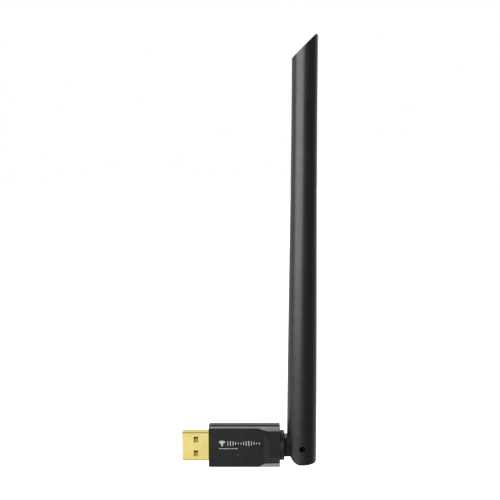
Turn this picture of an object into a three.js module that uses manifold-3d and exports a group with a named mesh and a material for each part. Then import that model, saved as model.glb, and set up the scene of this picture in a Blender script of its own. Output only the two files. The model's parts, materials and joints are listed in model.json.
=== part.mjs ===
// A USB wifi adapter: a metal USB plug, a small two-shell plastic housing with the radio board inside,
// a swivel in the housing's end, and a long antenna that folds on the swivel's tongue.
//
// Millimetres. The origin is the centre of the plug where it enters the housing. +X runs from the plug
// to the antenna, +Z is up along the unfolded antenna, and the front face looks along -Y.
import * as THREE from 'three';
import { mergeVertices } from 'three/addons/utils/BufferGeometryUtils.js';
import Module from 'manifold-3d';

const wasm = await Module();
wasm.setup();

// ---------------------------------------------------------------- driving dimensions

const fitGap = 0.05; // between fixed pieces that lie against each other
const runGap = 0.1; // between pieces that turn on each other
const weld = 0.3; // how far a rib or post runs into the wall that it grows from

const plug = {
  length: 11.25, // in front of the housing
  insideLength: 6.2,
  width: 12.1,
  thickness: 4.5,
  wall: 0.3,
  corner: 0.4,
  windowLength: 1.9,
  windowWidth: 2.45,
  windowX: -5.35,
  windowZ: 3.0,
  tabEnd: 8.7, // of the two tabs soldered to the board
  tabBack: 1.4, // how far those tabs reach behind the board's front face
  contactWidth: 1.0,
  contactThickness: 0.2,
  contactEnd: 8.6,
  contactNose: 0.6, // the sloped stretch at a contact's front end
  contactNoseTip: 0.06,
  insulatorSideGap: 0.2,
  insulatorInset: 0.5, // behind the shell's open end
  slotHeight: 0.85, // of the slot in the insulator behind the upper part of each front window
  slotDepth: 1.2,
};

const body = {
  length: 30.05,
  halfWidth: 8.5,
  halfDepth: 3.8,
  wall: 1.1,
  endWall: 1.4,
  faceSwell: 0.02, // the wide faces are this much higher inside their long edges
  faceMargin: 0.3, // how wide those lower edges are
  bevelWidth: 0.2, // of the long edges, seen from the front
  bevelDepth: 0.2,
  stripDepth: 1.8, // of the light strips along the long front edges
  seamGap: 0.3, // between the two covers
  channelWidth: 1.2, // of the channel along the front cover's long edges, beside the seam
  channelDepth: 0.5,
  lipThickness: 0.6,
  lipStart: 2,
  lipEnd: 26.5,
  postHalfWidth: 0.6, // of the posts under the circuit board
  postXs: [10.5, 18.5],
  postZ: 5.4,
  endChamfer: 0.3,
};

const tail = {
  start: 20.3, // where the wide face begins to narrow
  end: 24.5, // where it has narrowed to the tail's width
  riseStart: 23.3, // where the slope up to the crown begins
  riseEnd: 25.15,
  halfWidth: 6.95,
  edgeDepth: 3.5, // depth of the tail's long edges
  bevelDepth: 0.25, // of the long front edges beside the tail
  crownHalfWidth: 3.7,
  crownDepth: 5.9,
  crownInset: 0.5, // how much narrower the crown is inside the cover
};

const swivel = {
  flangeRadius: 4.6,
  flangeStart: 26.9,
  flangeThickness: 1.2,
  shaftRadius: 3.4,
  collarRadius: 6.3,
  collarStart: 30.2,
  collarEnd: 31.75,
  collarChamfer: 0.3,
  neckRadius: 4.6,
  neckEnd: 31.95,
  tongueHalfThickness: 3.1,
  tongueHalfHeight: 4.15,
  cableBoreRadius: 0.9,
  cableSlotStart: 3.3, // before the hinge axis, where the cable can bend upwards
  stopPegRadius: 0.6,
  stopPegOffset: 3.2,
  stopPegLength: 0.9,
  stopRibThickness: 0.6,
  stopRibHeight: 2.4,
  stopRibTip: 2.2, // from the swivel axis
};

const hinge = {
  x: 39.26,
  pinRadius: 1.2,
  pinInner: 1.15,
  pinOuter: 4.2, // sunk in the antenna's pin hole
};

const antenna = {
  bottom: -7.13,
  halfWidthBottom: 6.21,
  halfWidthTop: 5.25,
  halfDepthBottom: 6.35,
  halfDepthTop: 5.1,
  taperHeight: 150, // where the gentle taper ends
  lean: 0.27, // how far the centre line has moved towards +X at the taper height
  bottomRounding: 0.6,
  tipHeight: 171.5, // the highest point of the slanted tip
  tipX: 5.2, // where that point lies, from the hinge axis
  slotHalfThickness: 3.3,
  slotTop: 4.5,
  slotReach: 4.6, // from the hinge axis to the closed side of the slot
  earRadius: 5.2,
  notchTop: 3.9,
  notchX: -4.5,
  boreBottomRadius: 3.2,
  boreTopRadius: 2.7,
  boreBottom: 2,
  boreTop: 158,
};

const board = {
  start: 6.9,
  end: 24.6,
  halfWidth: 6.25,
  plugHalfWidth: 5.55, // between the plug's solder tabs
  plugEnd: 9.2,
  front: 0.1, // y of the face that carries the parts
  thickness: 0.8,
};

const led = { length: 1.6, height: 0.6, width: 0.8 };

const light = { x: 12.45, z: -3.2, holeRadius: 0.5 };
const coaxRadius = 0.57;
const past = 1; // how far a cutter reaches past the faces that it opens

const roundSegments = 32;
const boreSegments = 24;

// ---------------------------------------------------------------- materials

const material = (color, roughness, metalness = 0) =>
  new THREE.MeshStandardMaterial({ color, roughness, metalness });

const blackPlastic = () => material('#262626', 0.42);
const trimGrey = () => material('#8d8e90', 0.45, 0.3);
const gold = () => material('#f0d68a', 0.28, 1);
const steel = () => material('#a8a9ab', 0.35, 1);
const blackSteel = () => material('#26262a', 0.5, 1);
const brass = () => material('#c9a252', 0.35, 1);
const copper = () => material('#b8734a', 0.35, 1);
const beigePlastic = () => material('#cbbb8e', 0.5);
const boardGreen = () => material('#1d5a38', 0.55);
const chipBlack = () => material('#1c1d1f', 0.55);
const ceramicTan = () => material('#a98661', 0.6);
const ferriteGrey = () => material('#3b3c40', 0.7);
const clearGreen = () => material('#7fd08a', 0.2);
const cableGrey = () => material('#2f3033', 0.5);
const foamWhite = () => material('#dcdcd6', 0.9);

// ---------------------------------------------------------------- solid helpers

function toSolid(geometry) {
  const bare = geometry.clone();
  bare.deleteAttribute('normal');
  bare.deleteAttribute('uv');
  const merged = mergeVertices(bare, 1e-4);
  return new wasm.Manifold(new wasm.Mesh({
    numProp: 3,
    vertProperties: new Float32Array(merged.attributes.position.array),
    triVerts: new Uint32Array(merged.index.array),
  }));
}

function toGeometry(solid) {
  const mesh = solid.getMesh();
  const geometry = new THREE.BufferGeometry();
  geometry.setAttribute('position', new THREE.BufferAttribute(mesh.vertProperties, 3));
  geometry.setIndex(new THREE.BufferAttribute(mesh.triVerts, 1));
  return geometry;
}

// The base pieces joined together, with the tool pieces then cut away.
function carve(bases, tools = []) {
  let solid = toSolid(bases[0]);
  for (const extra of bases.slice(1)) {
    solid = solid.add(toSolid(extra));
  }
  for (const tool of tools) {
    solid = solid.subtract(toSolid(tool));
  }
  return toGeometry(solid);
}

function box(x0, x1, y0, y1, z0, z1) {
  const geometry = new THREE.BoxGeometry(x1 - x0, y1 - y0, z1 - z0);
  return geometry.translate((x0 + x1) / 2, (y0 + y1) / 2, (z0 + z1) / 2);
}

function cylinderAlongX(radius, x0, x1, segments = roundSegments) {
  const geometry = new THREE.CylinderGeometry(radius, radius, x1 - x0, segments);
  return geometry.rotateZ(-Math.PI / 2).translate((x0 + x1) / 2, 0, 0);
}

function cylinderAlongY(radius, y0, y1, segments = boreSegments) {
  const geometry = new THREE.CylinderGeometry(radius, radius, y1 - y0, segments);
  return geometry.translate(0, (y0 + y1) / 2, 0);
}

// A tube round the Z axis between two heights.
function tubeAlongZ(outer, inner, z0, z1, segments = boreSegments) {
  const profile = [[inner, z0], [outer, z0], [outer, z1], [inner, z1], [inner, z0]];
  const points = profile.map(([radius, height]) => new THREE.Vector2(radius, height));
  return new THREE.LatheGeometry(points, segments).rotateX(Math.PI / 2);
}

// A flat outline in X and Z, given depth along Y.
function extrudeAlongY(shape, y0, y1, curveSegments = 12) {
  const geometry = new THREE.ExtrudeGeometry(shape, {
    depth: y1 - y0,
    bevelEnabled: false,
    curveSegments,
  });
  return geometry.rotateX(Math.PI / 2).translate(0, y1, 0);
}

// A closed solid through a row of outlines that all have the same number of corners.
function loft(outlines) {
  const corners = outlines[0].length;
  const positions = outlines.flat().flatMap((point) => [point.x, point.y, point.z]);
  const flat = outlines[0].map((point) => projectOutline(outlines, point));
  const fan = THREE.ShapeUtils.triangulateShape(flat, []).flat();
  const cap = THREE.ShapeUtils.isClockWise(flat) ? turnedOver(fan) : fan;
  const triangles = [];
  const last = (outlines.length - 1) * corners;
  triangles.push(...turnedOver(cap), ...cap.map((corner) => last + corner));
  for (let row = 0; row < outlines.length - 1; row += 1) {
    for (let corner = 0; corner < corners; corner += 1) {
      const here = row * corners + corner;
      const next = row * corners + ((corner + 1) % corners);
      triangles.push(here, next, next + corners, here, next + corners, here + corners);
    }
  }
  const geometry = new THREE.BufferGeometry();
  geometry.setAttribute('position', new THREE.Float32BufferAttribute(positions, 3));
  geometry.setIndex(signedVolume(positions, triangles) < 0 ? turnedOver(triangles) : triangles);
  return geometry;
}

// Outlines stand across X or across Z, so a corner drops the axis that the row runs along.
function projectOutline(outlines, point) {
  const alongX = outlines[0][0].x !== outlines[1][0].x;
  return alongX && outlines[0].every((corner) => corner.x === outlines[0][0].x)
    ? new THREE.Vector2(point.y, point.z)
    : new THREE.Vector2(point.x, point.y);
}

function signedVolume(positions, triangles) {
  const corner = (index) => new THREE.Vector3().fromArray(positions, index * 3);
  let volume = 0;
  for (let first = 0; first < triangles.length; first += 3) {
    const [a, b, c] = [0, 1, 2].map((step) => corner(triangles[first + step]));
    volume += a.dot(b.cross(c)) / 6;
  }
  return volume;
}

function turnedOver(triangles) {
  const turned = [];
  for (let first = 0; first < triangles.length; first += 3) {
    turned.push(triangles[first], triangles[first + 2], triangles[first + 1]);
  }
  return turned;
}

function named(name, geometry, finish) {
  const mesh = new THREE.Mesh(geometry, finish);
  mesh.name = name;
  return mesh;
}

// ---------------------------------------------------------------- housing covers

const { clamp, lerp, smoothstep } = THREE.MathUtils;
const narrowing = (x) => smoothstep(x, tail.start, tail.end);
const shoulderHalfWidth = body.halfWidth - body.bevelWidth;

// The black face's long edge, and the raised crown, at a place along the housing. One flat slope leads
// from the face up to the crown, and narrows as it meets the tail's slanted sides.
function faceEdge(x) {
  const narrowed = narrowing(x);
  const risen = clamp((x - tail.riseStart) / (tail.riseEnd - tail.riseStart), 0, 1);
  const halfWidth = lerp(shoulderHalfWidth, tail.halfWidth, narrowed);
  return {
    halfWidth,
    depth: lerp(body.halfDepth, tail.edgeDepth, narrowed),
    bevelStart: body.halfDepth - lerp(body.bevelDepth, tail.bevelDepth, narrowed),
    crownHalfWidth: lerp(halfWidth - body.faceMargin, tail.crownHalfWidth, risen),
    crownDepth: lerp(body.halfDepth + body.faceSwell, tail.crownDepth, risen),
  };
}

// Places along X where the housing's section is drawn: more of them where the tail forms.
function stationsBetween(x0, x1) {
  const narrowingSteps = 6;
  const risingSteps = 6;
  const stations = [x0];
  for (let step = 0; step < narrowingSteps; step += 1) {
    stations.push(lerp(tail.start, tail.riseStart, step / narrowingSteps));
  }
  for (let step = 0; step <= risingSteps; step += 1) {
    stations.push(lerp(tail.riseStart, tail.riseEnd, step / risingSteps));
  }
  stations.push(x1);
  return stations;
}

// Half of a section, from the seam side to the crown, then mirrored to the other half.
function mirroredSection(x, half, inset = 0) {
  const upper = half.map(([y, z]) => new THREE.Vector3(x, y, Math.max(z - inset, 0)));
  const lower = half.map(([y, z]) => new THREE.Vector3(x, y, -Math.max(z - inset, 0)));
  return [...upper, ...lower.reverse()];
}

const stripBack = -(body.halfDepth - body.stripDepth);

function frontSection(x) {
  const edge = faceEdge(x);
  return [
    [0, body.halfWidth - body.channelDepth],
    [-body.channelWidth, body.halfWidth - body.channelDepth],
    [-body.channelWidth, body.halfWidth],
    [stripBack, body.halfWidth],
    [stripBack, edge.halfWidth],
    [-edge.depth, edge.halfWidth],
    [-edge.crownDepth, edge.crownHalfWidth],
  ];
}

function rearSection(x) {
  const edge = faceEdge(x);
  return [
    [body.seamGap, body.halfWidth],
    [body.halfDepth - body.bevelDepth, body.halfWidth],
    [body.halfDepth - body.faceSwell, shoulderHalfWidth],
    [edge.depth, edge.halfWidth - runGap],
    [edge.crownDepth, edge.crownHalfWidth],
  ];
}

// The room inside a cover. side is -1 for the front cover and 1 for the rear one.
function roomSection(x, side, sideHalfWidth) {
  const edge = faceEdge(x);
  const innerHalfWidth = Math.min(edge.halfWidth - body.wall, sideHalfWidth - runGap);
  return [
    [-side, sideHalfWidth],
    [side, sideHalfWidth],
    [side, innerHalfWidth],
    [side * (edge.depth - body.wall), innerHalfWidth],
    [side * (edge.crownDepth - body.wall), tail.crownHalfWidth - tail.crownInset],
  ];
}

function coverOutside(section) {
  const plugEnd = mirroredSection(0, section(0), body.endChamfer);
  const rest = stationsBetween(body.endChamfer, body.length);
  return loft([plugEnd, ...rest.map((x) => mirroredSection(x, section(x)))]);
}

function coverRoom(side, sideHalfWidth) {
  const stations = stationsBetween(body.endWall, body.length - body.endWall);
  return loft(stations.map((x) => mirroredSection(x, roomSection(x, side, sideHalfWidth))));
}

function plugHole() {
  const halfWidth = plug.width / 2 + fitGap;
  const halfThickness = plug.thickness / 2 + fitGap;
  return box(-past, body.endWall + past, -halfThickness, halfThickness, -halfWidth, halfWidth);
}

function swivelHole() {
  return cylinderAlongX(swivel.shaftRadius + runGap, body.length - body.endWall - past, body.length + past);
}

// The rib that the swivel's stop peg meets at a quarter turn.
function stopRib(side) {
  const top = -(swivel.stopPegRadius + 1.5 * runGap);
  const bottom = top - swivel.stopRibHeight;
  const wallY = side * (tail.crownDepth - body.wall + weld);
  const tipY = side * swivel.stopRibTip;
  const x0 = swivel.flangeStart - swivel.stopPegLength;
  const x1 = x0 + swivel.stopRibThickness;
  return box(x0, x1, Math.min(wallY, tipY), Math.max(wallY, tipY), bottom, top);
}

const frontRoomHalfWidth = body.halfWidth - body.wall - runGap;
const rearRoomHalfWidth = frontRoomHalfWidth - runGap - body.lipThickness;

function frontCover() {
  const lightHole = cylinderAlongY(light.holeRadius, -5, 0).translate(light.x, 0, light.z);
  const shell = carve(
    [coverOutside(frontSection)],
    [coverRoom(-1, frontRoomHalfWidth), plugHole(), swivelHole(), lightHole],
  );
  return named('front_cover', carve([shell, stopRib(-1)]), blackPlastic());
}

// Lips that reach into the front cover and close the seam from inside.
function rearLips() {
  const lips = [];
  const insideWall = 1;
  for (const side of [-1, 1]) {
    const inner = side * rearRoomHalfWidth;
    const outer = side * (rearRoomHalfWidth + body.lipThickness);
    const [z0, z1] = [Math.min(inner, outer), Math.max(inner, outer)];
    lips.push(box(body.lipStart, body.lipEnd, -body.lipThickness, insideWall, z0, z1));
  }
  const seamDepth = 0.4;
  const endHalfWidth = body.halfWidth - seamDepth;
  const endSpans = [
    [seamDepth, body.endWall],
    [body.length - body.endWall, body.length - seamDepth],
  ];
  for (const [x0, x1] of endSpans) {
    lips.push(box(x0, x1, runGap, insideWall, -endHalfWidth, endHalfWidth));
  }
  return lips;
}

// Posts that the circuit board rests on.
function boardPosts() {
  const posts = [];
  const half = body.postHalfWidth;
  const top = board.front + board.thickness + fitGap;
  const wallY = body.halfDepth - body.wall + weld;
  for (const x of body.postXs) {
    for (const z of [-body.postZ, body.postZ]) {
      posts.push(box(x - half, x + half, top, wallY, z - half, z + half));
    }
  }
  return posts;
}

function rearCover() {
  const shell = carve([coverOutside(rearSection)], [coverRoom(1, rearRoomHalfWidth)]);
  const fitted = carve([shell, ...rearLips(), ...boardPosts(), stopRib(1)], [plugHole(), swivelHole()]);
  return named('rear_cover', fitted, blackPlastic());
}

// A light strip along one long front edge: a bevel beside the wide face, a ledge beside the tail.
function trimStrip(name, side) {
  const back = stripBack - fitGap;
  const section = (x) => {
    const narrowed = narrowing(x);
    const edge = faceEdge(x);
    const inner = edge.halfWidth + fitGap;
    const shoulder = lerp(inner + runGap, shoulderHalfWidth, narrowed);
    const shoulderDepth = body.halfDepth - lerp(3, 1, narrowed) * body.faceSwell;
    return [
      [back, inner],
      [back, body.halfWidth],
      [-edge.bevelStart, body.halfWidth],
      [-shoulderDepth, shoulder],
      [-(edge.depth - body.faceSwell), inner],
    ].map(([y, z]) => new THREE.Vector3(x, y, side * z));
  };
  const stations = stationsBetween(body.endChamfer, body.length);
  return named(name, loft(stations.map(section)), trimGrey());
}

// ---------------------------------------------------------------- USB plug

function roundedRectangle(halfWidth, halfHeight, radius) {
  const shape = new THREE.Shape();
  shape.moveTo(halfWidth, -halfHeight + radius);
  shape.absarc(halfWidth - radius, halfHeight - radius, radius, 0, Math.PI / 2);
  shape.absarc(-halfWidth + radius, halfHeight - radius, radius, Math.PI / 2, Math.PI);
  shape.absarc(-halfWidth + radius, -halfHeight + radius, radius, Math.PI, Math.PI * 1.5);
  shape.absarc(halfWidth - radius, -halfHeight + radius, radius, Math.PI * 1.5, Math.PI * 2);
  return shape;
}

// A rounded bar along X, with its width along Z and its thickness along Y.
function roundedBar(halfWidth, halfThickness, radius, x0, x1) {
  const geometry = new THREE.ExtrudeGeometry(roundedRectangle(halfThickness, halfWidth, radius), {
    depth: x1 - x0,
    bevelEnabled: false,
    curveSegments: 5,
  });
  return geometry.rotateX(Math.PI / 2).rotateZ(Math.PI / 2).translate(x0, 0, 0);
}

function usbShell() {
  const halfWidth = plug.width / 2;
  const halfThickness = plug.thickness / 2;
  const outside = roundedBar(halfWidth, halfThickness, plug.corner, -plug.length, plug.insideLength);
  const inside = roundedBar(
    halfWidth - plug.wall,
    halfThickness - plug.wall,
    plug.corner - plug.wall,
    -plug.length - past,
    plug.insideLength + past,
  );
  const windows = [-1, 1].map((side) => box(
    plug.windowX - plug.windowLength / 2,
    plug.windowX + plug.windowLength / 2,
    -halfThickness - past,
    halfThickness + past,
    side * plug.windowZ - plug.windowWidth / 2,
    side * plug.windowZ + plug.windowWidth / 2,
  ));
  const tube = carve([outside], [inside, ...windows]);
  const tabs = [-1, 1].map((side) => {
    const faces = [side * halfWidth, side * (halfWidth - plug.wall)];
    const start = plug.insideLength - weld;
    return box(start, plug.tabEnd, -plug.wall, plug.tabBack, Math.min(...faces), Math.max(...faces));
  });
  return named('usb_shell', carve([tube, ...tabs]), gold());
}

// The plastic tongue fills the front half of the shell and carries the contacts on its back.
function usbInsulator() {
  const halfWidth = plug.width / 2 - plug.wall - plug.insulatorSideGap;
  const openEnd = -plug.length + plug.insulatorInset;
  const front = -(plug.thickness / 2 - plug.wall - fitGap);
  const back = board.front - plug.contactThickness - 2 * fitGap;
  const block = box(openEnd, board.start - fitGap, front, back, -halfWidth, halfWidth);
  const slots = [-1, 1].map((side) => {
    const top = side * plug.windowZ + plug.windowWidth / 2;
    return box(
      plug.windowX - plug.windowLength / 2,
      plug.windowX + plug.windowLength / 2,
      front - past,
      front + plug.slotDepth,
      top - plug.slotHeight,
      top,
    );
  });
  return named('usb_insulator', carve([block], slots), beigePlastic());
}

// One contact: a flat strip with a sloped nose that runs back to the board.
function usbContact(name, z, reach) {
  const width = plug.contactWidth;
  const back = board.front - fitGap;
  const front = back - plug.contactThickness;
  const side = new THREE.Shape([
    new THREE.Vector2(reach, front + plug.contactNoseTip),
    new THREE.Vector2(reach, front),
    new THREE.Vector2(plug.contactEnd, front),
    new THREE.Vector2(plug.contactEnd, back),
    new THREE.Vector2(reach + plug.contactNose, back),
  ]);
  const geometry = new THREE.ExtrudeGeometry(side, { depth: width, bevelEnabled: false });
  return named(name, geometry.translate(0, 0, z - width / 2), gold());
}

function usbContacts() {
  const powerReach = -(plug.length - 0.9);
  const dataReach = powerReach + 1.0;
  const contacts = [
    ['usb_contact_power', 3.5, powerReach],
    ['usb_contact_data_minus', 1.0, dataReach],
    ['usb_contact_data_plus', -1.0, dataReach],
    ['usb_contact_ground', -3.5, powerReach],
  ];
  return contacts.map(([name, z, reach]) => usbContact(name, z, reach));
}

// ---------------------------------------------------------------- radio board

function circuitBoard() {
  const outline = new THREE.Shape([
    new THREE.Vector2(board.start, -board.plugHalfWidth),
    new THREE.Vector2(board.plugEnd, -board.plugHalfWidth),
    new THREE.Vector2(board.plugEnd, -board.halfWidth),
    new THREE.Vector2(board.end, -board.halfWidth),
    new THREE.Vector2(board.end, board.halfWidth),
    new THREE.Vector2(board.plugEnd, board.halfWidth),
    new THREE.Vector2(board.plugEnd, board.plugHalfWidth),
    new THREE.Vector2(board.start, board.plugHalfWidth),
  ]);
  const geometry = extrudeAlongY(outline, board.front, board.front + board.thickness);
  return named('circuit_board', geometry, boardGreen());
}

// A part soldered to the board's front face: length along X, height off the board, width along Z.
function boardPart(name, x, z, [length, height, width], finish) {
  const mesh = named(name, new THREE.BoxGeometry(length, height, width), finish);
  mesh.position.set(x, board.front - fitGap - height / 2, z);
  return mesh;
}

function boardParts() {
  const parts = [
    boardPart('wifi_chip', 17.6, 0.9, [6.0, 0.9, 6.0], chipBlack()),
    boardPart('memory_chip', 12.9, 4.6, [3.0, 1.1, 2.4], chipBlack()),
    boardPart('voltage_regulator', 10.6, 1.2, [1.6, 1.1, 2.9], chipBlack()),
    boardPart('crystal', 17.4, -4.3, [3.2, 0.8, 2.5], steel()),
    boardPart('status_led', light.x, light.z, [led.length, led.height, led.width], clearGreen()),
  ];
  const capacitorPlaces = [[10.4, 4.9], [10.3, -1.9], [14.2, -5.2], [22.2, 4.2]];
  capacitorPlaces.forEach(([x, z], index) => {
    parts.push(boardPart(`capacitor_${index + 1}`, x, z, [1.6, 0.8, 0.8], ceramicTan()));
  });
  const resistorPlaces = [[12.9, 1.6], [12.9, -0.4], [22.2, -3.4]];
  resistorPlaces.forEach(([x, z], index) => {
    parts.push(boardPart(`resistor_${index + 1}`, x, z, [1.0, 0.4, 0.5], chipBlack()));
  });
  return parts;
}

// A wound ferrite coil: two square end flanges on a round drum.
function powerInductor() {
  const height = 1.5;
  const size = 2.4;
  const flange = 0.35;
  const half = size / 2;
  const drum = cylinderAlongY(half - 0.25, -height, 0);
  const geometry = carve([
    box(-half, half, -flange, 0, -half, half),
    box(-half, half, -height, -height + flange, -half, half),
    drum,
  ]);
  const mesh = named('power_inductor', geometry, ferriteGrey());
  mesh.position.set(10.5, board.front - fitGap, -4.75);
  return mesh;
}

// The clear pin that carries the LED's light to the front face.
function lightPipe() {
  const ledFront = board.front - fitGap - led.height;
  const innerFace = -(body.halfDepth - body.wall);
  const stem = light.holeRadius - fitGap;
  const head = 0.75;
  const profile = [
    [0, ledFront - 0.1],
    [head, ledFront - 0.1],
    [head, innerFace + fitGap],
    [stem, innerFace + fitGap],
    [stem, -body.halfDepth + 0.1],
    [stem - 0.15, -body.halfDepth - 0.05],
    [0, -body.halfDepth - 0.08],
  ];
  const points = profile.map(([radius, y]) => new THREE.Vector2(radius, -y));
  const geometry = new THREE.LatheGeometry(points, boreSegments).rotateX(Math.PI);
  const mesh = named('light_pipe', geometry, clearGreen());
  mesh.position.set(light.x, 0, light.z);
  return mesh;
}

// ---------------------------------------------------------------- coax lead

// A round cable along a curve.
function cable(curve, steps, radius = coaxRadius) {
  const section = new THREE.Shape();
  section.absarc(0, 0, radius, 0, Math.PI * 2);
  return new THREE.ExtrudeGeometry(section, {
    steps,
    curveSegments: 4,
    bevelEnabled: false,
    extrudePath: curve,
  });
}

function coaxInHousing() {
  const boardY = board.front - coaxRadius - 0.15;
  const curve = new THREE.CatmullRomCurve3([
    new THREE.Vector3(21.0, boardY, 0.6),
    new THREE.Vector3(22.6, boardY, 0.5),
    new THREE.Vector3(24.4, boardY, 0.1),
    new THREE.Vector3(26.6, 0, 0),
  ]);
  return named('coax_housing', cable(curve, 10), cableGrey());
}

function coaxInSwivel() {
  const start = new THREE.Vector3(swivel.flangeStart, 0, 0);
  const end = new THREE.Vector3(hinge.x - coaxRadius - 0.2, 0, 0);
  return named('coax_swivel', cable(new THREE.LineCurve3(start, end), 1), cableGrey());
}

// ---------------------------------------------------------------- swivel

function swivelRound() {
  const flangeEnd = swivel.flangeStart + swivel.flangeThickness;
  const profile = [
    [swivel.cableBoreRadius, swivel.flangeStart],
    [swivel.flangeRadius, swivel.flangeStart],
    [swivel.flangeRadius, flangeEnd],
    [swivel.shaftRadius, flangeEnd],
    [swivel.shaftRadius, swivel.collarStart],
    [swivel.collarRadius, swivel.collarStart],
    [swivel.collarRadius, swivel.collarEnd - swivel.collarChamfer],
    [swivel.collarRadius - swivel.collarChamfer, swivel.collarEnd],
    [swivel.neckRadius, swivel.collarEnd],
    [swivel.neckRadius, swivel.neckEnd],
    [swivel.cableBoreRadius, swivel.neckEnd],
    [swivel.cableBoreRadius, swivel.flangeStart],
  ];
  const points = profile.map(([radius, x]) => new THREE.Vector2(radius, x));
  return new THREE.LatheGeometry(points, roundSegments).rotateZ(-Math.PI / 2);
}

// The tongue's outline in X and Z: straight from the collar, then round about the hinge axis.
function tongueShape() {
  const half = swivel.tongueHalfHeight;
  const shape = new THREE.Shape();
  shape.moveTo(swivel.collarEnd - weld, -half);
  shape.lineTo(hinge.x, -half);
  shape.absarc(hinge.x, 0, half, -Math.PI / 2, Math.PI / 2);
  shape.lineTo(swivel.collarEnd - weld, half);
  shape.closePath();
  return shape;
}

function swivelBase() {
  const half = swivel.tongueHalfHeight;
  const halfThickness = swivel.tongueHalfThickness;
  const bore = swivel.cableBoreRadius;
  const tongue = extrudeAlongY(tongueShape(), -halfThickness, halfThickness, 10);
  const peg = cylinderAlongX(
    swivel.stopPegRadius,
    swivel.flangeStart - swivel.stopPegLength + runGap,
    swivel.flangeStart + weld,
    12,
  ).translate(0, 0, swivel.stopPegOffset);
  const geometry = carve([swivelRound(), tongue, peg], [
    cylinderAlongX(bore, swivel.collarEnd - past, hinge.x, roundSegments),
    box(hinge.x - swivel.cableSlotStart, hinge.x + half + past, -bore, bore, -bore, half + past),
    cylinderAlongY(hinge.pinRadius + runGap, -half, half).translate(hinge.x, 0, 0),
  ]);
  return named('swivel_base', geometry, blackPlastic());
}

// A thin washer between the flange and the housing's end wall, which gives the swivel its friction.
function swivelWasher() {
  const start = swivel.flangeStart + swivel.flangeThickness + fitGap;
  const end = body.length - body.endWall - fitGap;
  const outer = swivel.flangeRadius - runGap;
  const inner = swivel.shaftRadius + fitGap;
  const geometry = tubeAlongZ(outer, inner, start, end, roundSegments);
  return named('swivel_washer', geometry.rotateY(Math.PI / 2), steel());
}

// ---------------------------------------------------------------- antenna (about the hinge axis)

// One cross-section of the antenna's outside, at a height. Its taper is a gentle S.
function antennaSection(z, inset = 0) {
  const rise = z / antenna.taperHeight;
  const taper = smoothstep(rise, 0, 1);
  const halfWidth = lerp(antenna.halfWidthBottom, antenna.halfWidthTop, taper) - inset;
  const halfDepth = lerp(antenna.halfDepthBottom, antenna.halfDepthTop, taper) - inset;
  const centre = antenna.lean * rise;
  const points = [];
  const corners = 48;
  for (let corner = 0; corner < corners; corner += 1) {
    const angle = (corner / corners) * Math.PI * 2;
    points.push(new THREE.Vector3(
      centre + Math.cos(angle) * halfWidth,
      Math.sin(angle) * halfDepth,
      z,
    ));
  }
  return points;
}

function antennaOutside() {
  const round = antenna.bottomRounding;
  const outlines = [0, 30, 60, 90].map((degrees) => {
    const angle = THREE.MathUtils.degToRad(degrees);
    const height = antenna.bottom + round * (1 - Math.cos(angle));
    return antennaSection(height, round * (1 - Math.sin(angle)));
  });
  const taperSteps = 10;
  for (let step = 0; step <= taperSteps; step += 1) {
    outlines.push(antennaSection(antenna.taperHeight * (step / taperSteps)));
  }
  outlines.push(antennaSection(antenna.tipHeight + 2));
  return loft(outlines);
}

// What lies above the slanted tip: everything past a plane that rises 45 degrees towards +X.
function tipCutter() {
  const reach = 30;
  const { tipX, tipHeight } = antenna;
  const shape = new THREE.Shape([
    new THREE.Vector2(tipX - reach, tipHeight - reach),
    new THREE.Vector2(tipX + reach, tipHeight + reach),
    new THREE.Vector2(tipX - reach, tipHeight + reach),
  ]);
  return extrudeAlongY(shape, -reach, reach);
}

// What is cut from the lower corner on the housing's side, leaving two round ears.
function earCutter() {
  const reach = 12;
  const centreZ = antenna.bottom + antenna.earRadius;
  const shape = new THREE.Shape();
  shape.moveTo(-reach, antenna.notchTop);
  shape.lineTo(-reach, -reach);
  shape.lineTo(0, -reach);
  shape.lineTo(0, antenna.bottom);
  shape.absarc(0, centreZ, antenna.earRadius, -Math.PI / 2, -Math.PI, true);
  shape.lineTo(antenna.notchX, antenna.notchTop);
  shape.closePath();
  return extrudeAlongY(shape, -reach, reach);
}

// The slot between the ears: room for the tongue from lying sideways to pointing down.
function slotCutters() {
  const reach = 12;
  const half = antenna.slotHalfThickness;
  return [
    box(-reach, 0, -half, half, -reach, antenna.slotTop),
    box(-1, antenna.slotReach, -half, half, -reach, 0),
    cylinderAlongY(antenna.slotTop, -half, half, roundSegments),
  ];
}

function antennaSheath() {
  const bore = new THREE.CylinderGeometry(
    antenna.boreTopRadius,
    antenna.boreBottomRadius,
    antenna.boreTop - antenna.boreBottom,
    boreSegments,
  ).rotateX(Math.PI / 2).translate(0, 0, (antenna.boreTop + antenna.boreBottom) / 2);
  const pinHole = cylinderAlongY(hinge.pinRadius + runGap, -8, 8);
  const geometry = carve(
    [antennaOutside()],
    [tipCutter(), earCutter(), ...slotCutters(), bore, pinHole],
  );
  return named('antenna_sheath', geometry, blackPlastic());
}

function hingePin(name, side) {
  const ends = [side * hinge.pinInner, side * hinge.pinOuter];
  return named(name, cylinderAlongY(hinge.pinRadius, Math.min(...ends), Math.max(...ends)), blackSteel());
}

const sleeveStart = 60;
const quarterWave = 31;
const coaxTop = sleeveStart + quarterWave;
const wireRadius = 0.4;

function coaxInAntenna() {
  const start = new THREE.Vector3(0, 0, coaxRadius + 0.2);
  const end = new THREE.Vector3(0, 0, coaxTop);
  return named('coax_antenna', cable(new THREE.LineCurve3(start, end), 1), cableGrey());
}

function dipoleSleeve() {
  const outer = 2.4;
  const inner = 2.1;
  return named('dipole_sleeve', tubeAlongZ(outer, inner, sleeveStart, coaxTop - weld), brass());
}

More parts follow.
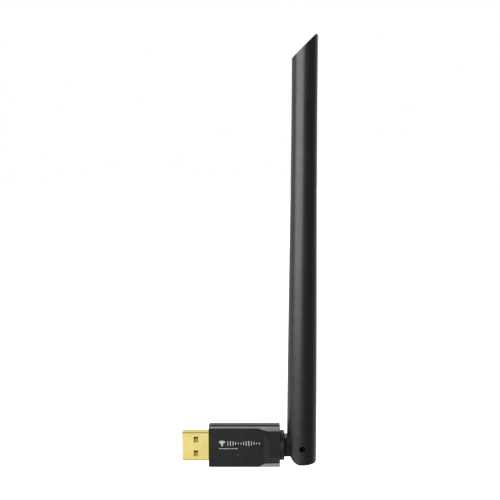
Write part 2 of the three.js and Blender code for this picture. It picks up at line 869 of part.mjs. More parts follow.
// The radiating wire: straight, then a few turns that keep the two halves in phase, then straight.
function radiatorWire() {
  const coil = { start: 120, turns: 4, pitch: 2.0, radius: 1.5, pointsPerTurn: 10 };
  const coilTop = coil.start + coil.turns * coil.pitch;
  const points = [
    new THREE.Vector3(0, 0, coaxTop + 0.2),
    new THREE.Vector3(0, 0, 105),
    new THREE.Vector3(0, 0, coil.start - 2),
  ];
  for (let step = 0; step <= coil.turns * coil.pointsPerTurn; step += 1) {
    const turn = step / coil.pointsPerTurn;
    const angle = turn * Math.PI * 2;
    const height = coil.start + turn * coil.pitch;
    points.push(new THREE.Vector3(coil.radius * Math.cos(angle), coil.radius * Math.sin(angle), height));
  }
  points.push(new THREE.Vector3(0, 0, coilTop + 2));
  points.push(new THREE.Vector3(0, 0, 145));
  points.push(new THREE.Vector3(0, 0, antenna.boreTop - 1));
  const curve = new THREE.CatmullRomCurve3(points, false, 'centripetal');
  return named('radiator_wire', cable(curve, 90, wireRadius), copper());
}

function foamSpacer(name, z0) {
  const length = 6;
  const outer = antenna.boreTopRadius - 2 * runGap;
  const inner = wireRadius + weld;
  return named(name, tubeAlongZ(outer, inner, z0, z0 + length), foamWhite());
}

// ---------------------------------------------------------------- the whole adapter

const adapter = new THREE.Group();

const housingGroup = new THREE.Group();
housingGroup.add(frontCover(), rearCover());
housingGroup.add(trimStrip('trim_strip_upper', 1), trimStrip('trim_strip_lower', -1));
housingGroup.add(usbShell(), usbInsulator(), ...usbContacts());
housingGroup.add(circuitBoard(), ...boardParts(), powerInductor(), lightPipe(), coaxInHousing());

const swivelGroup = new THREE.Group();
swivelGroup.add(swivelBase(), swivelWasher(), coaxInSwivel());

const antennaGroup = new THREE.Group();
antennaGroup.position.x = hinge.x;
antennaGroup.add(antennaSheath());
antennaGroup.add(hingePin('hinge_pin_front', -1), hingePin('hinge_pin_rear', 1));
antennaGroup.add(coaxInAntenna(), dipoleSleeve(), radiatorWire());
antennaGroup.add(foamSpacer('foam_spacer_lower', 107), foamSpacer('foam_spacer_upper', 148));

adapter.add(housingGroup, swivelGroup, antennaGroup);

export default adapter;
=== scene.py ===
# Looks of the USB wifi adapter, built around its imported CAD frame. Metres, in the frame's own axes.
import json
import math

import bmesh
import bpy
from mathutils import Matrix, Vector


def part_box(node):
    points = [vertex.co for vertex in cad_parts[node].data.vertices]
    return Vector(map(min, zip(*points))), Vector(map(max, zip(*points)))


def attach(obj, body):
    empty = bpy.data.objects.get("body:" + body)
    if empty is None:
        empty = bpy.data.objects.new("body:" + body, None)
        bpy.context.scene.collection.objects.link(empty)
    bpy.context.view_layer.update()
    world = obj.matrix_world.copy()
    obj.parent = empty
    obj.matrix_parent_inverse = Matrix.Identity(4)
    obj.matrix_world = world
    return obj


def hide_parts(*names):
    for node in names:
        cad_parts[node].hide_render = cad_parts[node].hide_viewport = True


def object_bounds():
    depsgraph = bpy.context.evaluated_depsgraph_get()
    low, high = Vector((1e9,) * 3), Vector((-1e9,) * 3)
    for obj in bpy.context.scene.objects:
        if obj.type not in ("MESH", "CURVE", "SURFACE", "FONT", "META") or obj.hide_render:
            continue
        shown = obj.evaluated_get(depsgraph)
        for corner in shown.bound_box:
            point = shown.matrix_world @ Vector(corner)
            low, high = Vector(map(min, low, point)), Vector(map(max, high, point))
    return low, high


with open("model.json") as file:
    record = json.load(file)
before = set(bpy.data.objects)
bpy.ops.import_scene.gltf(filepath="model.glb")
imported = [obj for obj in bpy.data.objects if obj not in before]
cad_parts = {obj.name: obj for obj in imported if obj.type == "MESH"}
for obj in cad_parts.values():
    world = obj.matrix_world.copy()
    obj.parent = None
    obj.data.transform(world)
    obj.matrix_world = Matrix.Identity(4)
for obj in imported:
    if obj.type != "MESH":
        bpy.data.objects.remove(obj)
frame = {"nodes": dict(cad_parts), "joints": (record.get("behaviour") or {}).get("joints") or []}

cad_low, cad_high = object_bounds()
MM = 0.001


# ---------------------------------------------------------------- places taken from the frame

def joint(name):
    return next(entry for entry in frame["joints"] if entry["name"] == name)


hinge = Vector(joint("antenna_fold")["pos_m"])
antenna_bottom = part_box("antenna_sheath")[0].z
collar_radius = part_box("swivel_base")[1].z
front_low, front_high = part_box("front_cover")
pin_low, pin_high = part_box("hinge_pin_front")
pin_radius = (pin_high.x - pin_low.x) / 2


def wide_face_depth():
    """The depth of the housing's flat front face, which ends before the raised tail."""
    flat_share = 0.6
    flat_end = front_low.x + flat_share * (front_high.x - front_low.x)
    points = [vertex.co for vertex in frame["nodes"]["front_cover"].data.vertices]
    return min(point.y for point in points if point.x < flat_end)


face_y = wide_face_depth()


# ---------------------------------------------------------------- mesh helpers

def add_object(name, mesh):
    """A new object in the scene with this mesh."""
    piece = bpy.data.objects.new(name, mesh)
    bpy.context.scene.collection.objects.link(piece)
    return piece


def mesh_piece(name, points, faces):
    """A new object with these points and faces, turned to face outwards."""
    mesh = bpy.data.meshes.new(name)
    mesh.from_pydata([tuple(point) for point in points], [], faces)
    work = bmesh.new()
    work.from_mesh(mesh)
    bmesh.ops.recalc_face_normals(work, faces=work.faces)
    work.to_mesh(mesh)
    work.free()
    return add_object(name, mesh)


def loft(name, rings):
    """A closed piece through a row of rings that all have the same number of points."""
    count = len(rings[0])
    points = [point for ring in rings for point in ring]
    faces = []
    for row in range(len(rings) - 1):
        for step in range(count):
            here = row * count + step
            beside = row * count + (step + 1) % count
            faces.append((here, beside, beside + count, here + count))
    last = (len(rings) - 1) * count
    faces.append(tuple(reversed(range(count))))
    faces.append(tuple(range(last, last + count)))
    return mesh_piece(name, points, faces)


def lathe_x(name, profile, segments):
    """Turns a closed profile of (x, radius) about the X axis."""
    count = len(profile)
    points = []
    faces = []
    for step in range(segments):
        angle = 2 * math.pi * step / segments
        for x, radius in profile:
            points.append((x, radius * math.cos(angle), radius * math.sin(angle)))
        beside = (step + 1) % segments
        for corner in range(count):
            after = (corner + 1) % count
            faces.append((
                step * count + corner,
                beside * count + corner,
                beside * count + after,
                step * count + after,
            ))
    return mesh_piece(name, points, faces)


def box_piece(name, low, high):
    """A box between its lowest and highest corners."""
    low, high = Vector(low), Vector(high)
    corners = [(low.x, low.y), (high.x, low.y), (high.x, high.y), (low.x, high.y)]
    return loft(name, [[(x, y, z) for x, y in corners] for z in (low.z, high.z)])


def prism_y(name, outline, y0, y1):
    """An outline of (x, z) points given depth along Y."""
    return loft(name, [[(x, y, z) for x, z in outline] for y in (y0, y1)])


def arc(centre_x, centre_z, radius, start, end, steps):
    """Points of (x, z), or of another two axes, along an arc with its angles in degrees."""
    points = []
    for step in range(steps + 1):
        angle = math.radians(start + (end - start) * step / steps)
        points.append((centre_x + radius * math.cos(angle), centre_z + radius * math.sin(angle)))
    return points


def circle(centre_x, centre_z, radius, segments):
    """Points of (x, z), or of another two axes, round a whole circle."""
    return arc(centre_x, centre_z, radius, 0, 360, segments)[:-1]


def cylinder_y(name, centre, radius, y0, y1, segments=48):
    """A cylinder along Y."""
    return prism_y(name, circle(centre.x, centre.z, radius, segments), y0, y1)


def bake_modifiers(piece):
    """Applies the piece's modifiers to its mesh."""
    depsgraph = bpy.context.evaluated_depsgraph_get()
    mesh = bpy.data.meshes.new_from_object(piece.evaluated_get(depsgraph))
    piece.modifiers.clear()
    piece.data = mesh
    return piece


def combine(piece, others, operation="DIFFERENCE"):
    """Cuts the others out of the piece, or joins them to it, and removes them."""
    for other in others:
        modifier = piece.modifiers.new("combine", "BOOLEAN")
        modifier.operation = operation
        modifier.solver = "EXACT"
        modifier.object = other
        bake_modifiers(piece)
        bpy.data.objects.remove(other)
    return piece


def tidy_mesh(piece, angle=0.6):
    """Joins doubled points and merges faces that lie within angle degrees of one plane."""
    same_point = 0.001 * MM
    work = bmesh.new()
    work.from_mesh(piece.data)
    bmesh.ops.remove_doubles(work, verts=work.verts, dist=same_point)
    bmesh.ops.dissolve_limit(
        work,
        angle_limit=math.radians(angle),
        verts=work.verts,
        edges=work.edges,
        use_dissolve_boundaries=False,
    )
    bmesh.ops.recalc_face_normals(work, faces=work.faces)
    work.to_mesh(piece.data)
    work.free()
    return piece


def round_edges(piece, width, segments=3, angle=35):
    """Rounds every edge that turns by more than angle degrees."""
    modifier = piece.modifiers.new("round", "BEVEL")
    modifier.width = width
    modifier.segments = segments
    modifier.limit_method = "ANGLE"
    modifier.angle_limit = math.radians(angle)
    modifier.use_clamp_overlap = True
    return bake_modifiers(piece)


def smooth(piece, angle=32):
    """Smooth shading that leaves the large flat faces looking flat."""
    piece.data.shade_smooth()
    piece.data.set_sharp_from_angle(angle=math.radians(angle))
    modifier = piece.modifiers.new("flat_faces", "WEIGHTED_NORMAL")
    modifier.weight = 80
    modifier.keep_sharp = True
    return bake_modifiers(piece)


def copy_of(node, name):
    """A new piece with the shape of a CAD node."""
    return tidy_mesh(add_object(name, frame["nodes"][node].data.copy()))


def finish_piece(piece, body, material, replaced=()):
    """Gives a piece its material, the body that it rides on, and the CAD nodes that it stands for."""
    piece.data.materials.clear()
    piece.data.materials.append(material)
    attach(piece, body)
    if replaced:
        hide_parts(*replaced)
    return piece


# ---------------------------------------------------------------- material helpers

class Surface:
    """A procedural material: a Principled shader whose colour, roughness and bump come from noise."""

    def __init__(self, name, colour, roughness, metallic=0.0):
        self.material = bpy.data.materials.new(name)
        self.material.use_nodes = True
        self.nodes = self.material.node_tree.nodes
        self.links = self.material.node_tree.links
        self.shader = self.nodes["Principled BSDF"]
        self.shader.inputs["Base Color"].default_value = (*colour, 1.0)
        self.shader.inputs["Roughness"].default_value = roughness
        self.shader.inputs["Metallic"].default_value = metallic
        self.place = self.nodes.new("ShaderNodeTexCoord").outputs["Object"]
        self.colour = colour
        self.roughness = roughness

    def stretched(self, stretch):
        """The object's own coordinates, scaled along each axis."""
        mapping = self.nodes.new("ShaderNodeMapping")
        mapping.inputs["Scale"].default_value = stretch
        self.links.new(self.place, mapping.inputs["Vector"])
        return mapping.outputs["Vector"]

    def noise(self, size, detail=2.0, stretch=(1, 1, 1)):
        """Noise whose blotches are about size metres across."""
        texture = self.nodes.new("ShaderNodeTexNoise")
        texture.inputs["Scale"].default_value = 1.0 / size
        texture.inputs["Detail"].default_value = detail
        self.links.new(self.stretched(stretch), texture.inputs["Vector"])
        return texture.outputs["Fac"]

    def spread(self, value, low, high, start=0.3, end=0.7):
        """Maps a value from start..end to low..high."""
        spread = self.nodes.new("ShaderNodeMapRange")
        spread.inputs["From Min"].default_value = start
        spread.inputs["From Max"].default_value = end
        spread.inputs["To Min"].default_value = low
        spread.inputs["To Max"].default_value = high
        self.links.new(value, spread.inputs["Value"])
        return spread.outputs["Result"]

    def vary_roughness(self, size, amount, stretch=(1, 1, 1)):
        """Lets the roughness drift up and down by about amount."""
        value = self.spread(
            self.noise(size, 4.0, stretch),
            self.roughness - amount,
            self.roughness + amount,
        )
        self.links.new(value, self.shader.inputs["Roughness"])
        return self

    def vary_colour(self, other, size, detail=3.0, stretch=(1, 1, 1)):
        """Mixes the colour with another one in patches about size metres across."""
        mix = self.nodes.new("ShaderNodeMix")
        mix.data_type = "RGBA"
        mix.inputs["A"].default_value = (*self.colour, 1.0)
        mix.inputs["B"].default_value = (*other, 1.0)
        self.links.new(self.spread(self.noise(size, detail, stretch), 0.0, 1.0), mix.inputs["Factor"])
        self.links.new(mix.outputs["Result"], self.shader.inputs["Base Color"])
        return self

    def paint_corner_shade(self, shade_tint):
        """Painted shade: multiplies the colour by the given tint where the surface turns between the Y
        and the Z faces.
        """
        normal = self.nodes.new("ShaderNodeSeparateXYZ")
        self.links.new(self.nodes.new("ShaderNodeTexCoord").outputs["Normal"], normal.inputs["Vector"])
        turn = self.nodes.new("ShaderNodeMath")
        turn.operation = "MULTIPLY"
        self.links.new(normal.outputs["Y"], turn.inputs[0])
        self.links.new(normal.outputs["Z"], turn.inputs[1])
        size = self.nodes.new("ShaderNodeMath")
        size.operation = "ABSOLUTE"
        self.links.new(turn.outputs["Value"], size.inputs[0])
        mix = self.nodes.new("ShaderNodeMix")
        mix.data_type = "RGBA"
        mix.blend_type = "MULTIPLY"
        mix.inputs["B"].default_value = (*shade_tint, 1.0)
        share = self.spread(size.outputs["Value"], 0.0, 1.0, start=0.05, end=0.35)
        self.links.new(share, mix.inputs["Factor"])
        socket = self.shader.inputs["Base Color"]
        self.links.new(socket.links[0].from_socket, mix.inputs["A"])
        self.links.new(mix.outputs["Result"], socket)
        return self

    def grain(self, size, depth, detail=2.0, stretch=(1, 1, 1)):
        """Fine relief: bumps about size metres across and depth metres high, added to any before."""
        bump = self.nodes.new("ShaderNodeBump")
        bump.inputs["Strength"].default_value = 1.0
        bump.inputs["Distance"].default_value = depth
        self.links.new(self.noise(size, detail, stretch), bump.inputs["Height"])
        socket = self.shader.inputs["Normal"]
        if socket.is_linked:
            self.links.new(socket.links[0].from_socket, bump.inputs["Normal"])
        self.links.new(bump.outputs["Normal"], socket)
        return self


def black_plastic(name, colour, roughness):
    """Black plastic with a faint mottle and a fine moulded grain. The colour is one grey level."""
    surface = Surface(name, (colour, colour, 0.98 * colour), roughness)
    surface.vary_colour((1.25 * colour, 1.25 * colour, 1.23 * colour), 6 * MM)
    surface.vary_roughness(3 * MM, 0.035)
    surface.grain(0.16 * MM, 0.0022 * MM)
    return surface.material


def gold_plate():
    """Gold plating, brushed along the plug, with painted shade darkening its long bent edges."""
    surface = Surface("gold_plate", (0.9, 0.785, 0.31), 0.58, 1.0)
    surface.vary_colour((0.83, 0.7, 0.25), 5 * MM)
    # Painted shade: the shell's long edges are darkened in colour, not by light.
    surface.paint_corner_shade((0.3, 0.29, 0.2))
    surface.vary_roughness(1.4 * MM, 0.05, (0.2, 1, 1))
    surface.grain(0.12 * MM, 0.0012 * MM, 3.0, (0.08, 1, 1))
    return surface.material


def trim_paint():
    """Silver-grey paint with small flakes."""
    surface = Surface("trim_grey", (0.185, 0.186, 0.188), 0.42, 0.1)
    surface.vary_colour((0.215, 0.215, 0.217), 0.25 * MM)
    surface.vary_roughness(2 * MM, 0.04)
    surface.grain(0.1 * MM, 0.001 * MM)
    return surface.material


def plain_metal(name, colour, other, roughness, stretch):
    """Metal whose fine marks run along the axis with the small stretch."""
    surface = Surface(name, colour, roughness, 1.0)
    surface.vary_colour(other, 1.5 * MM)
    surface.vary_roughness(1 * MM, 0.06, stretch)
    surface.grain(0.1 * MM, 0.0015 * MM, 3.0, stretch)
    return surface.material


def moulded(name, colour, other, roughness, blotch=1.0, relief=0.002):
    """A plain surface that isn't metal. blotch, the size of its colour patches, and relief are in mm."""
    surface = Surface(name, colour, roughness)
    surface.vary_colour(other, blotch * MM)
    surface.vary_roughness(0.8 * MM, 0.05)
    surface.grain(0.12 * MM, relief * MM)
    return surface.material


def light_plastic():
    """The dull green plastic of the light pipe and of its LED, which is off."""
    surface = Surface("clear_green", (0.03, 0.055, 0.035), 0.3)
    surface.vary_colour((0.045, 0.075, 0.05), 0.3 * MM)
    surface.vary_roughness(0.5 * MM, 0.05)
    surface.grain(0.15 * MM, 0.001 * MM)
    return surface.material


body_black = black_plastic("body_black", colour=0.0055, roughness=0.38)
antenna_black = black_plastic("antenna_black", colour=0.0105, roughness=0.34)
gold = gold_plate()
trim = trim_paint()
steel = plain_metal("steel", (0.56, 0.56, 0.57), (0.48, 0.48, 0.5), 0.3, (1, 0.1, 1))
# Near-black steel for the hinge pins: the dark colour is painted shade for the deep pin holes.
black_steel = plain_metal("black_steel", (0.016, 0.016, 0.017), (0.01, 0.01, 0.011), 0.4, (1, 0.1, 1))
brass = plain_metal("brass", (0.72, 0.53, 0.22), (0.62, 0.44, 0.17), 0.32, (1, 1, 0.1))
copper = plain_metal("copper", (0.72, 0.36, 0.2), (0.6, 0.28, 0.15), 0.32, (1, 1, 0.1))
board_green = moulded("board_green", (0.012, 0.1, 0.04), (0.02, 0.14, 0.06), 0.35, 0.7)
chip_black = moulded("chip_black", (0.014, 0.014, 0.016), (0.02, 0.02, 0.022), 0.5)
ceramic = moulded("ceramic_tan", (0.38, 0.25, 0.13), (0.3, 0.2, 0.1), 0.55)
ferrite = moulded("ferrite_grey", (0.04, 0.04, 0.045), (0.06, 0.06, 0.065), 0.7)
beige_plastic = moulded("beige_plastic", (0.3, 0.24, 0.055), (0.26, 0.205, 0.045), 0.6)
jacket = moulded("cable_grey", (0.02, 0.021, 0.023), (0.028, 0.029, 0.031), 0.45)
foam = moulded("foam_white", (0.7, 0.7, 0.67), (0.6, 0.6, 0.57), 0.9, 0.4, 0.02)
ink = moulded("white_ink", (0.72, 0.72, 0.7), (0.62, 0.62, 0.6), 0.5, 0.3, 0.001)
green_light = light_plastic()


# ---------------------------------------------------------------- antenna

antenna_shape = {
    "half_width_bottom": 6.21 * MM,
    "half_width_top": 5.25 * MM,
    "half_depth_bottom": 6.35 * MM,
    "half_depth_top": 5.1 * MM,
    "taper_height": 150 * MM,
    "lean": 0.27 * MM,
    "bottom_rounding": 0.6 * MM,
    "tip_x": 5.2 * MM,
    "tip_height": 171.5 * MM,
    "tip_slant": 45,  # degrees from upright
    "nose_radius": 0.75 * MM,
    "slot_half": 3.3 * MM,
    "slot_top": 4.5 * MM,
    "slot_reach": 4.6 * MM,
    "ear_radius": 5.2 * MM,
    "notch_top": 3.9 * MM,
    "notch_x": -4.5 * MM,
    "bore_radius": 3.0 * MM,
    "bore_bottom": 2 * MM,
    "bore_top": 156 * MM,
    "pin_clearance": 0.1 * MM,
}
cutter_reach = 12 * MM  # how far a cutter runs past the piece that it cuts


def antenna_ring(z, inset=0.0, segments=112):
    """The antenna's oval section at a height, narrower by inset all round."""
    shape = antenna_shape
    rise = z / shape["taper_height"]
    part = min(max(rise, 0.0), 1.0)
    taper = part * part * (3 - 2 * part)  # smooth at both ends
    width_change = shape["half_width_top"] - shape["half_width_bottom"]
    depth_change = shape["half_depth_top"] - shape["half_depth_bottom"]
    half_width = shape["half_width_bottom"] + width_change * taper
    half_depth = shape["half_depth_bottom"] + depth_change * taper
    centre = hinge.x + shape["lean"] * rise
    ring = []
    for step in range(segments):
        angle = 2 * math.pi * step / segments
        ring.append((
            centre + math.cos(angle) * (half_width - inset),
            math.sin(angle) * (half_depth - inset),
            z,
        ))
    return ring


def antenna_body():
    """The whole antenna, rounded below and still with a square top, past its slanted tip."""
    rounding = antenna_shape["bottom_rounding"]
    past_tip = 2 * MM
    rows = 44
    rings = []
    for degrees in range(0, 91, 15):
        angle = math.radians(degrees)
        height = antenna_bottom + rounding * (1 - math.cos(angle))
        rings.append(antenna_ring(height, rounding * (1 - math.sin(angle))))
    first = antenna_bottom + rounding
    last = antenna_shape["tip_height"] + past_tip
    rings += [antenna_ring(first + (last - first) * row / rows) for row in range(1, rows + 1)]
    return loft("antenna_sheath_fine", rings)


def tip_cutter():
    """What lies past the slanted tip, which is rounded where it meets the side away from the plug."""
    shape = antenna_shape
    reach = 30 * MM
    slant = shape["tip_slant"]
    lean = shape["lean"] * shape["tip_height"] / shape["taper_height"]
    side = hinge.x + lean + shape["half_width_top"]
    point = shape["tip_height"] + side - hinge.x - shape["tip_x"]
    nose = shape["nose_radius"]
    nose_z = point - nose / math.tan(math.radians(slant / 2))
    outline = [(side - reach, point - reach)]
    outline += arc(side - nose, nose_z, nose, 90 + slant, 0, 12)
    outline += [(side + reach, nose_z), (side + reach, point + reach), (side - reach, point + reach)]
    return prism_y("tip_cutter", outline, -reach, reach)


def ear_cutter():
    """What lies outside the fork's round ears, on the housing's side, up to the notch over them."""
    reach = cutter_reach
    radius = antenna_shape["ear_radius"]
    notch_top = antenna_shape["notch_top"]
    outline = [(hinge.x - reach, notch_top), (hinge.x - reach, -reach), (hinge.x, -reach)]
    outline += arc(hinge.x, antenna_bottom + radius, radius, -90, -180, 24)
    outline.append((hinge.x + antenna_shape["notch_x"], notch_top))
    return prism_y("ear_cutter", outline, -reach, reach)


def slot_cutter():
    """The whole slot as one outline: open to the housing's side and below, round at the top right."""
    reach = cutter_reach
    top = antenna_shape["slot_top"]
    side = antenna_shape["slot_reach"]
    half = antenna_shape["slot_half"]
    round_start = 5  # degrees
    outline = [(hinge.x - reach, -reach), (hinge.x + side, -reach), (hinge.x + side, 0)]
    outline += arc(hinge.x, 0, top, round_start, 90, 18)
    outline.append((hinge.x - reach, top))
    return prism_y("slot_cutter", outline, -half, half)


def bore_cutter():
    """The round bore inside the antenna, which holds the coax and the radiator."""
    ring = circle(hinge.x, 0, antenna_shape["bore_radius"], 32)
    ends = (antenna_shape["bore_bottom"], antenna_shape["bore_top"])
    return loft("bore_cutter", [[(x, y, z) for x, y in ring] for z in ends])


def antenna_sheath():
    """The antenna's sheath: oval, slanted at the tip, and forked at the hinge."""
    tip_rounding = 1.0 * MM
    edge_rounding = 0.14 * MM
    pin_hole = pin_radius + antenna_shape["pin_clearance"]
    piece = combine(antenna_body(), [tip_cutter()])
    round_edges(piece, tip_rounding, 6, 25)
    combine(piece, [
        ear_cutter(),
        slot_cutter(),
        bore_cutter(),
        cylinder_y("pin_cutter", hinge, pin_hole, -cutter_reach, cutter_reach),
    ])
    round_edges(piece, edge_rounding, 3, 32)
    smooth(piece)
    return finish_piece(piece, "antenna", antenna_black, ["antenna_sheath"])


def hinge_pin(node):
    """One of the two short pins through the antenna's ears, with its ends rounded, coloured near black
    as painted shade deep in the pin holes.
    """
    low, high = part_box(node)
    piece = cylinder_y(node + "_fine", hinge, pin_radius, low.y, high.y)
    round_edges(piece, 0.2 * MM, 3)
    smooth(piece)
    return finish_piece(piece, "antenna", black_steel, [node])


antenna_sheath()
for node in ("hinge_pin_front", "hinge_pin_rear"):
    hinge_pin(node)


# ---------------------------------------------------------------- swivel

swivel_shape = {
    "flange_start": 26.9 * MM,
    "flange_end": 28.1 * MM,
    "flange_radius": 4.6 * MM,
    "shaft_radius": 3.4 * MM,
    "collar_gap": 0.15 * MM,  # between the housing's end and the collar
    "collar_chamfer": 0.12 * MM,
    "collar_end": 31.9 * MM,
    "collar_rounding": 0.3 * MM,
    "cable_bore": 0.9 * MM,
    "cable_slot_start": 3.3 * MM,  # before the hinge axis
    "tongue_root": 31.45 * MM,
    "tongue_half_height": 4.15 * MM,
    "tongue_half_thickness": 3.1 * MM,
    "tongue_rounding": 0.2 * MM,
    "pin_clearance": 0.1 * MM,
}


def swivel_round():
    """The swivel's turned part: the flange inside the housing, the shaft and the collar outside."""
    shape = swivel_shape
    chamfer = shape["collar_chamfer"]
    rounding = shape["collar_rounding"]
    collar_start = front_high.x + shape["collar_gap"]
    profile = [
        (shape["flange_start"], shape["cable_bore"]),
        (shape["flange_start"], shape["flange_radius"]),
        (shape["flange_end"], shape["flange_radius"]),
        (shape["flange_end"], shape["shaft_radius"]),
        (collar_start, shape["shaft_radius"]),
        (collar_start, collar_radius - chamfer),
        (collar_start + chamfer, collar_radius),
    ]
    profile += arc(shape["collar_end"] - rounding, collar_radius - rounding, rounding, 90, 0, 2)
    profile.append((shape["collar_end"], shape["cable_bore"]))
    return lathe_x("swivel_base_fine", profile, 96)


def tongue():
    """The flat tongue between the antenna's ears, round about the hinge axis."""
    half = swivel_shape["tongue_half_height"]
    root = swivel_shape["tongue_root"]
    half_thickness = swivel_shape["tongue_half_thickness"]
    outline = arc(hinge.x, 0, half, -90, 90, 28) + [(root, half), (root, -half)]
    piece = prism_y("tongue", outline, -half_thickness, half_thickness)
    return round_edges(piece, swivel_shape["tongue_rounding"], 3, 40)


def cable_cutter():
    """The slot in the tongue that lets the coax follow the antenna from upright to straight."""
    bore = swivel_shape["cable_bore"]
    start = hinge.x - swivel_shape["cable_slot_start"]
    return box_piece("cable_cutter", (start, -bore, -bore), (hinge.x + cutter_reach, bore, cutter_reach))


def swivel_base():
    """The knuckle between the housing and the antenna."""
    pin_hole = pin_radius + swivel_shape["pin_clearance"]
    piece = combine(swivel_round(), [tongue()], "UNION")
    combine(piece, [
        cable_cutter(),
        cylinder_y("pin_cutter", hinge, pin_hole, -cutter_reach, cutter_reach),
    ])
    smooth(piece)
    return finish_piece(piece, "swivel", body_black, ["swivel_base"])


swivel_base()


# ---------------------------------------------------------------- housing

def cover(node):
    """One half of the housing, with its edges rounded."""
    edge_rounding = 0.12 * MM
    piece = copy_of(node, node + "_fine")
    round_edges(piece, edge_rounding, 3, 32)
    smooth(piece)
    return finish_piece(piece, "housing", body_black, [node])


def trim_strip(node):
    """One of the silver-grey strips along the housing's long front edges."""
    edge_rounding = 0.05 * MM
    piece = copy_of(node, node + "_fine")
    round_edges(piece, edge_rounding, 2, 32)
    smooth(piece)
    return finish_piece(piece, "housing", trim, [node])


for node in ("front_cover", "rear_cover"):
    cover(node)
for node in ("trim_strip_upper", "trim_strip_lower"):
    trim_strip(node)


# ---------------------------------------------------------------- plug

def plug_shell():
    """The plug's metal shell with its windows."""
    edge_rounding = 0.06 * MM
    piece = copy_of("usb_shell", "usb_shell_fine")
    round_edges(piece, edge_rounding, 2, 40)
    smooth(piece)
    return finish_piece(piece, "housing", gold, ["usb_shell"])


plug_shell()


# ---------------------------------------------------------------- printed mark

mark_left = 4.5 * MM
mark_top = 3.0 * MM
mark_height = 2.3 * MM
ink_proud = 0.012 * MM
ink_sunk = 0.01 * MM


def printed(outline):
    """One patch of ink: an outline of (x, z) points, a hair proud of the face."""
    return prism_y("ink", outline, face_y - ink_proud, face_y + ink_sunk)


def join_pieces(name, pieces):
    """Makes one piece of several that keep their shapes."""
    joined = bmesh.new()
    for piece in pieces:
        joined.from_mesh(piece.data)
        bpy.data.objects.remove(piece)
    mesh = bpy.data.meshes.new(name)
    joined.to_mesh(mesh)
    joined.free()
    return add_object(name, mesh)


def wave_icon():
    """A dot with three waves over it, the plain sign for radio."""
    thick = 0.3 * MM
    pitch = 0.52 * MM
    waves = 3
    x = mark_left + mark_height / 2
    z = mark_top - mark_height + thick
    pieces = [printed(circle(x, z, thick, 24))]
    for wave in range(1, waves + 1):
        radius = thick + wave * pitch
        outline = arc(x, z, radius + thick / 2, 45, 135, 20)
        outline += arc(x, z, radius - thick / 2, 135, 45, 20)
        pieces.append(printed(outline))
    return pieces


def level_bars():
    """A row of upright bars whose heights rise and fall like a wave."""
    count = 13
    first = mark_left + 3.6 * MM
    pitch = 1.1 * MM
    half = 0.11 * MM
    bars_per_wave = 7
    mean_share = 0.32  # of the mark's height, from the middle to a bar's end
    swing_share = 0.16
    middle_z = mark_top - mark_height / 2
    pieces = []
    for step in range(count):
        x = first + step * pitch
        swing = math.sin(2 * math.pi * (step + 1) / bars_per_wave)
        tall = mark_height * (mean_share + swing_share * swing)
        outline = arc(x, middle_z + tall - half, half, 0, 180, 8)
        outline += arc(x, middle_z - tall + half, half, 180, 360, 8)
        pieces.append(printed(outline))
    return pieces


def rule_line():
    """A row of short dashes under the icon and the first bars."""
    count = 9
    pitch = 0.88 * MM
    length = 0.5 * MM
    gap_above = 1.0 * MM
    height = 0.27 * MM
    top = mark_top - mark_height - gap_above
    bottom = top - height
    pieces = []
    for step in range(count):
        x = mark_left + step * pitch
        pieces.append(printed([(x, bottom), (x + length, bottom), (x + length, top), (x, top)]))
    return pieces


mark = join_pieces("printed_mark", wave_icon() + level_bars() + rule_line())
finish_piece(mark, "housing", ink)


# ---------------------------------------------------------------- carried-over CAD nodes

node_materials = {
    "usb_insulator": beige_plastic,
    "circuit_board": board_green,
    "wifi_chip": chip_black,
    "memory_chip": chip_black,
    "voltage_regulator": chip_black,
    "crystal": steel,
    "status_led": green_light,
    "power_inductor": ferrite,
    "light_pipe": green_light,
    "swivel_washer": steel,
    "dipole_sleeve": brass,
    "radiator_wire": copper,
}
prefix_materials = {
    "usb_contact": gold,
    "capacitor": ceramic,
    "resistor": chip_black,
    "coax": jacket,
    "foam_spacer": foam,
}


def material_for(node):
    if node in node_materials:
        return node_materials[node]
    for prefix, material in prefix_materials.items():
        if node.startswith(prefix):
            return material
    return body_black


for node, piece in frame["nodes"].items():
    piece.data.materials.clear()
    piece.data.materials.append(material_for(node))


# ---------------------------------------------------------------- studio

def softbox(name, direction_degrees, elevation_degrees, distance, size, power, target):
    """A rectangular light aimed at target. Direction 0 is in front, and positive to the right."""
    azimuth = math.radians(direction_degrees)
    elevation = math.radians(elevation_degrees)
    way = Vector((
        math.sin(azimuth) * math.cos(elevation),
        -math.cos(azimuth) * math.cos(elevation),
        math.sin(elevation),
    ))
    light = bpy.data.lights.new(name, "AREA")
    light.shape = "RECTANGLE"
    light.size, light.size_y = size
    light.energy = power
    lamp = bpy.data.objects.new(name, light)
    lamp.location = target + way * distance
    lamp.rotation_mode = "QUATERNION"
    lamp.rotation_quaternion = (-way).to_track_quat("-Z", "Y")
    bpy.context.scene.collection.objects.link(lamp)
    return lamp


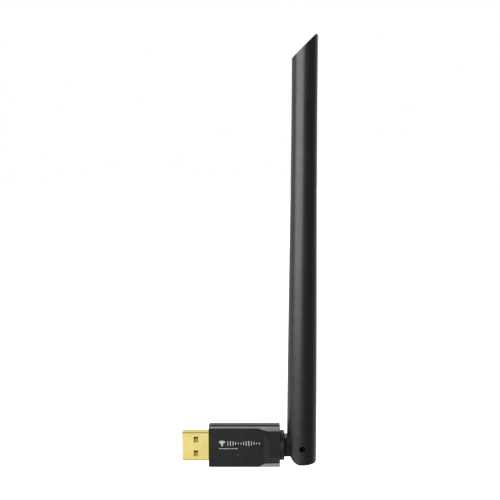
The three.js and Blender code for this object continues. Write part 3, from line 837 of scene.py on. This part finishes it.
class Sky:
    """The studio's light by direction: the camera itself sees plain white."""

    def __init__(self, name):
        self.world = bpy.data.worlds.new(name)
        self.world.use_nodes = True
        self.nodes = self.world.node_tree.nodes
        self.links = self.world.node_tree.links
        self.way = self.nodes.new("ShaderNodeTexCoord").outputs["Generated"]

    def towards(self, direction):
        """How nearly a ray points along a direction: 1 along it, -1 against it."""
        dot = self.nodes.new("ShaderNodeVectorMath")
        dot.operation = "DOT_PRODUCT"
        dot.inputs[1].default_value = Vector(direction).normalized()
        self.links.new(self.way, dot.inputs[0])
        return dot.outputs["Value"]

    def ramp(self, value, start, end, low, high):
        """Goes smoothly from low at start to high at end."""
        ramp = self.nodes.new("ShaderNodeMapRange")
        ramp.interpolation_type = "SMOOTHSTEP"
        ramp.inputs["From Min"].default_value = start
        ramp.inputs["From Max"].default_value = end
        ramp.inputs["To Min"].default_value = low
        ramp.inputs["To Max"].default_value = high
        self.links.new(value, ramp.inputs["Value"])
        return ramp.outputs["Result"]

    def combine(self, operation, first, second):
        math_node = self.nodes.new("ShaderNodeMath")
        math_node.operation = operation
        self.links.new(first, math_node.inputs[0])
        self.links.new(second, math_node.inputs[1])
        return math_node.outputs["Value"]


def studio_world():
    """Dim in front and brighter behind and overhead, with darker patches low behind, high in front
    and to the right."""
    sky = Sky("studio")
    depth = sky.ramp(sky.towards((0, 1, 0)), start=-1.0, end=1.0, low=0.26, high=0.82)
    overhead = sky.ramp(sky.towards((0, 0.35, 1)), start=0.78, end=1.0, low=0.0, high=0.38)
    below = sky.ramp(sky.towards((0, 0.8, -0.6)), start=0.72, end=1.0, low=1.0, high=0.5)
    above = sky.ramp(sky.towards((0, -0.6, 0.8)), start=0.75, end=0.97, low=1.0, high=0.3)
    flag = sky.ramp(sky.towards((0.85, -0.5, 0.05)), start=0.3, end=0.9, low=1.0, high=0.42)
    shade = sky.combine("MULTIPLY", flag, sky.combine("MULTIPLY", below, above))
    light = sky.combine("MULTIPLY", sky.combine("ADD", depth, overhead), shade)
    seen = sky.nodes.new("ShaderNodeLightPath").outputs["Is Camera Ray"]
    strength = sky.combine("MAXIMUM", light, seen)
    background = sky.nodes["Background"]
    background.inputs["Color"].default_value = (1, 1, 1, 1)
    sky.links.new(strength, background.inputs["Strength"])
    bpy.context.scene.world = sky.world


def pale_floor(gap_below):
    """A wide white floor below the part, which glows but neither lights it nor reflects in it."""
    half = 4.0
    z = cad_low.z - gap_below
    floor = mesh_piece(
        "floor",
        [(-half, -half, z), (half, -half, z), (half, half, z), (-half, half, z)],
        [(0, 1, 2, 3)],
    )
    surface = Surface("floor_white", (0.93, 0.93, 0.925), 0.8)
    surface.vary_roughness(0.05, 0.05)
    surface.shader.inputs["Emission Color"].default_value = (1, 1, 1, 1)
    surface.shader.inputs["Emission Strength"].default_value = 0.9
    floor.data.materials.append(surface.material)
    floor.visible_glossy = False
    floor.visible_diffuse = False


middle = (cad_low + cad_high) / 2
studio_world()
pale_floor(gap_below=0.11)
softbox(
    "key_softbox",
    direction_degrees=-44,
    elevation_degrees=13.5,
    distance=0.8,
    size=(1.1, 0.76),
    power=13.3,
    target=middle,
)


# ---------------------------------------------------------------- camera

def place_camera(position, tilt_down_degrees, lens):
    data = bpy.data.cameras.new("camera")
    data.lens = lens
    data.sensor_width = 36.0
    camera = bpy.data.objects.new("camera", data)
    camera.location = position
    camera.rotation_euler = (math.radians(90 - tilt_down_degrees), 0, 0)
    bpy.context.scene.collection.objects.link(camera)
    bpy.context.scene.camera = camera


place_camera(position=(17.4 * MM, -400 * MM, 132.4 * MM), tilt_down_degrees=7, lens=70.1)
bpy.context.scene.view_settings.view_transform = "Standard"
